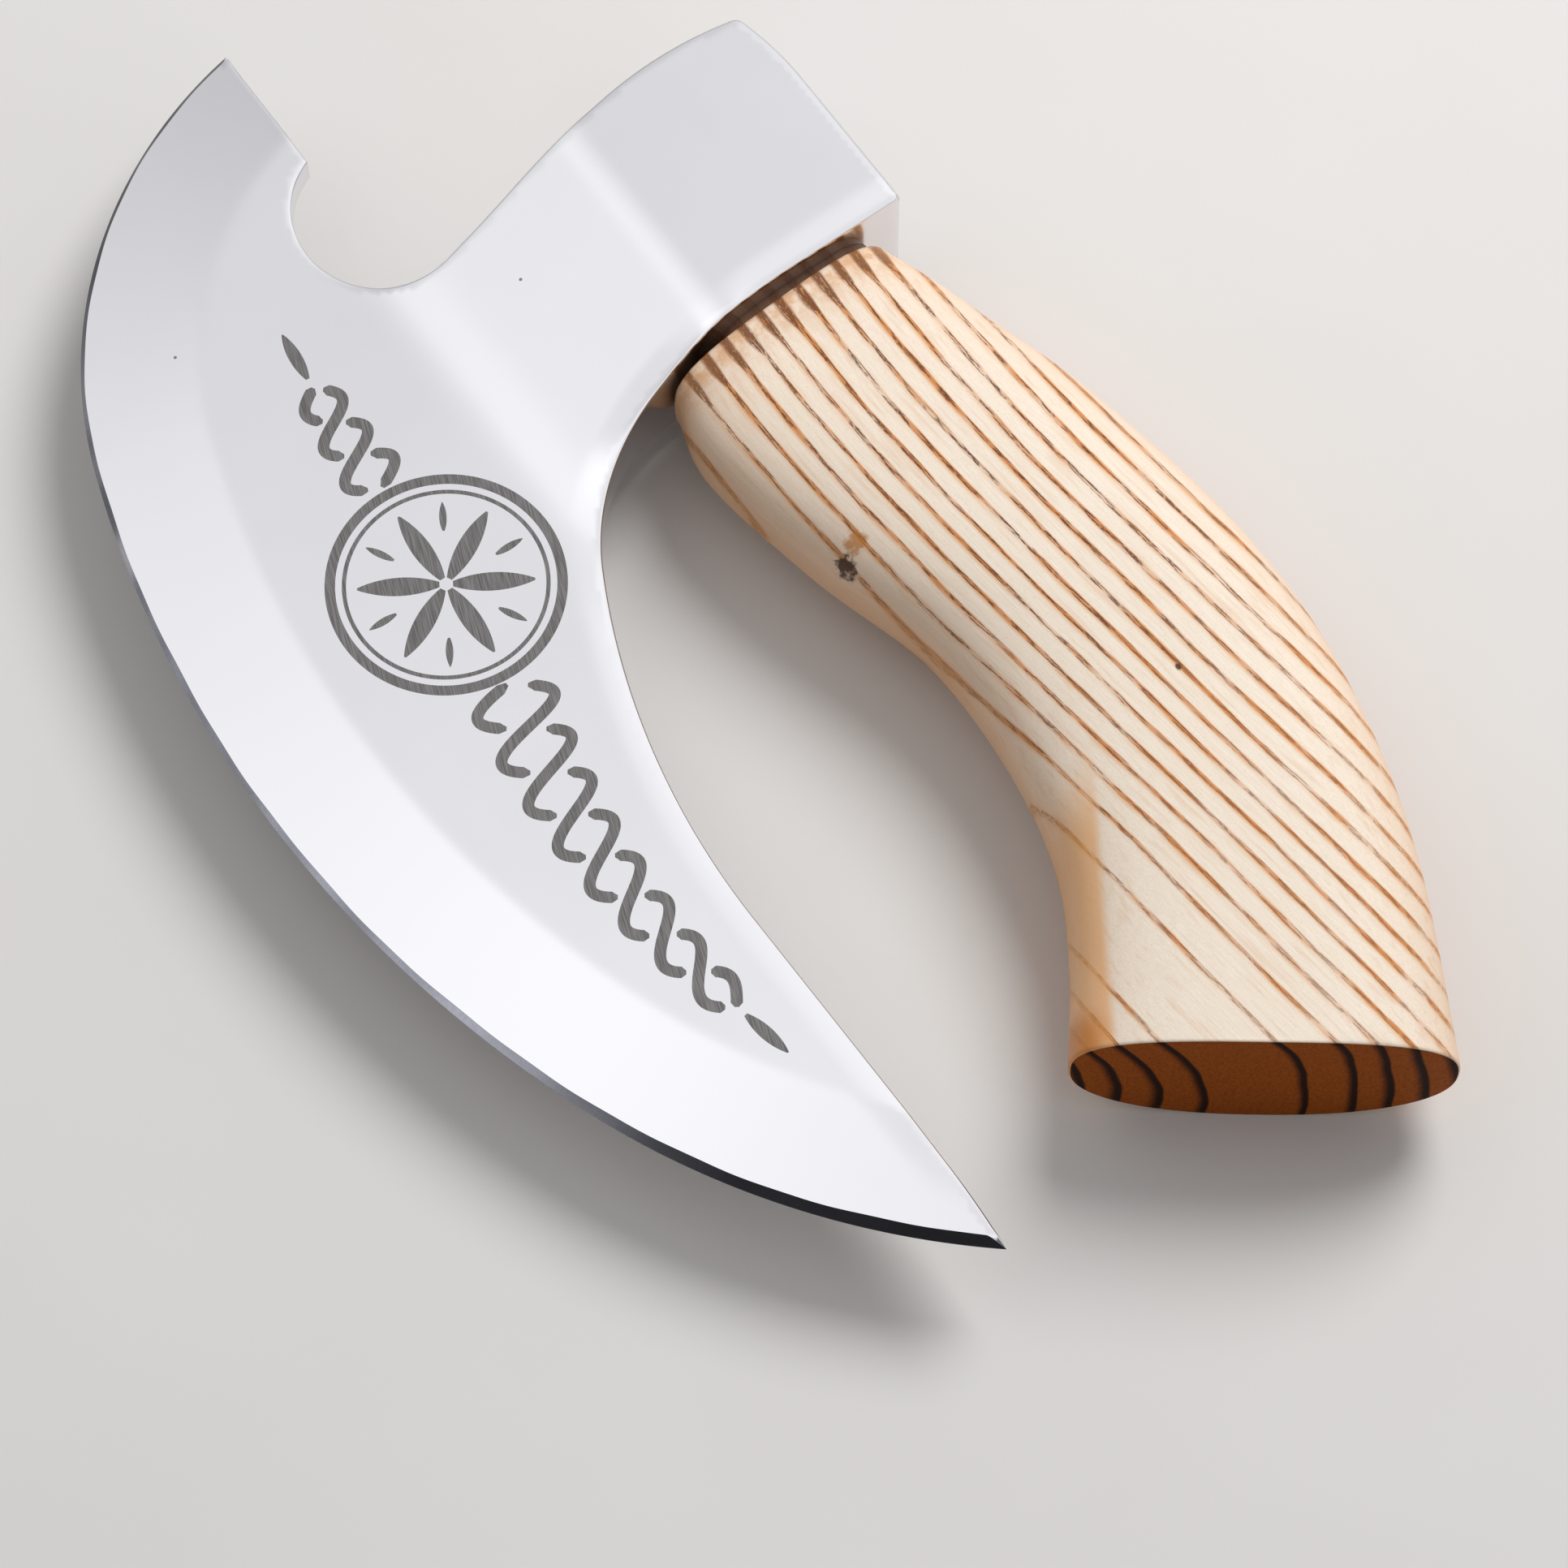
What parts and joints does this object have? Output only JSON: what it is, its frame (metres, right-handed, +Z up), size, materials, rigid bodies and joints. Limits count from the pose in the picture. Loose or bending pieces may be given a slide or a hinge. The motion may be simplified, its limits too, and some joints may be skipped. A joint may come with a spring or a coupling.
{
  "type": "short-handled bearded axe",
  "caption": "Short bearded axe with a sweeping crescent edge and a stubby flared wooden handle, for rocking and chopping cuts on a board.",
  "frame": {"origin": "centre of the bounding box's bottom face, under the tool lying on its side", "axes": "+X from the cutting edge to the poll, +Y from the butt of the handle to the top of the eye, +Z up across the cheeks"},
  "size_m": [0.1372, 0.2317, 0.029],
  "materials": {
    "head_steel": "mirror-polished steel with a satin ground edge",
    "handle_wood": "oiled open-grained ash",
    "wedge_wood": "bare hardwood",
    "wedge_steel": "plain cold-cut steel"
  },
  "bodies": {
    "root": {"axe_head": "head_steel", "handle": "handle_wood", "eye_wedge": "wedge_wood", "steel_wedge": "wedge_steel"}
  },
  "joints": []
}
